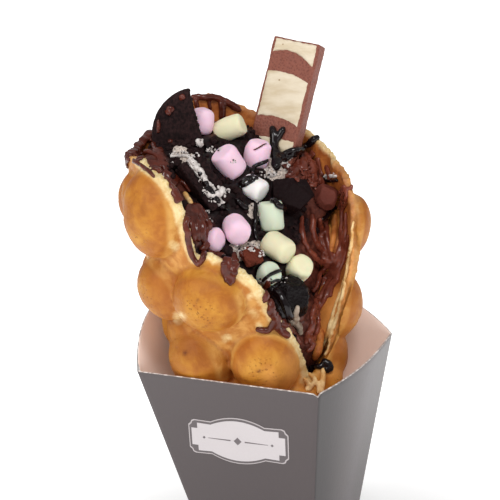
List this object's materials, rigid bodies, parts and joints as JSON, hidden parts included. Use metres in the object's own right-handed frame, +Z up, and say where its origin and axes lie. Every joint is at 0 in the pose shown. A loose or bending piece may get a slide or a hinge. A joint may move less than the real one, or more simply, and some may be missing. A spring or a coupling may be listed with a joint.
{
  "type": "filled egg waffle in card holder",
  "caption": "Bubble waffle rolled into a cone in a tapered card holder, filled with chocolate, broken cookie and marshmallows, with a striped chocolate bar standing in it.",
  "frame": {"origin": "centre of the card holder's base, on the surface it stands on", "axes": "+Z up; the holder's label panel faces -Y and its plain side panel faces +X"},
  "size_m": [0.118, 0.1252, 0.2748],
  "materials": {
    "card": "grey-taupe matt card, beige inside",
    "waffle_crust": "golden baked crust",
    "filling_mix": "dark broken cookie, cream and chocolate spread",
    "cookie_wafer": "matt near-black biscuit",
    "cookie_cream": "crumbly white cream",
    "bar_chocolate": "grainy milk chocolate",
    "bar_cream": "smooth pale cream",
    "dark_chunk": "broken black biscuit",
    "syrup_chunk": "coated with dark syrup",
    "brownie": "brown crumb",
    "milk_chocolate": "smooth milk chocolate",
    "marshmallow_pink": "dusty soft pink",
    "marshmallow_yellow": "dusty pale yellow",
    "marshmallow_mint": "dusty pale green",
    "marshmallow_white": "dusty white"
  },
  "bodies": {
    "root": {"carton": "card", "waffle": "waffle_crust", "filling": "filling_mix", "marshmallow_01": "marshmallow_pink", "marshmallow_02": "marshmallow_yellow", "marshmallow_03": "marshmallow_pink", "marshmallow_04": "marshmallow_pink", "marshmallow_05": "marshmallow_pink", "marshmallow_06": "marshmallow_pink", "marshmallow_07": "marshmallow_white", "marshmallow_08": "marshmallow_mint", "marshmallow_09": "marshmallow_yellow", "marshmallow_10": "marshmallow_yellow", "marshmallow_11": "marshmallow_mint", "cookie_standing": "cookie_wafer", "cookie_wafer_front": "cookie_wafer", "cookie_cream": "cookie_cream", "cookie_wafer_back": "cookie_wafer", "chunk_dark": "dark_chunk", "chunk_glossy": "syrup_chunk", "chunk_brownie": "brownie", "chunk_milk": "milk_chocolate", "bar_chocolate": "bar_chocolate", "bar_cream_01": "bar_cream", "bar_cream_02": "bar_cream", "bar_cream_03": "bar_cream"}
  },
  "joints": []
}
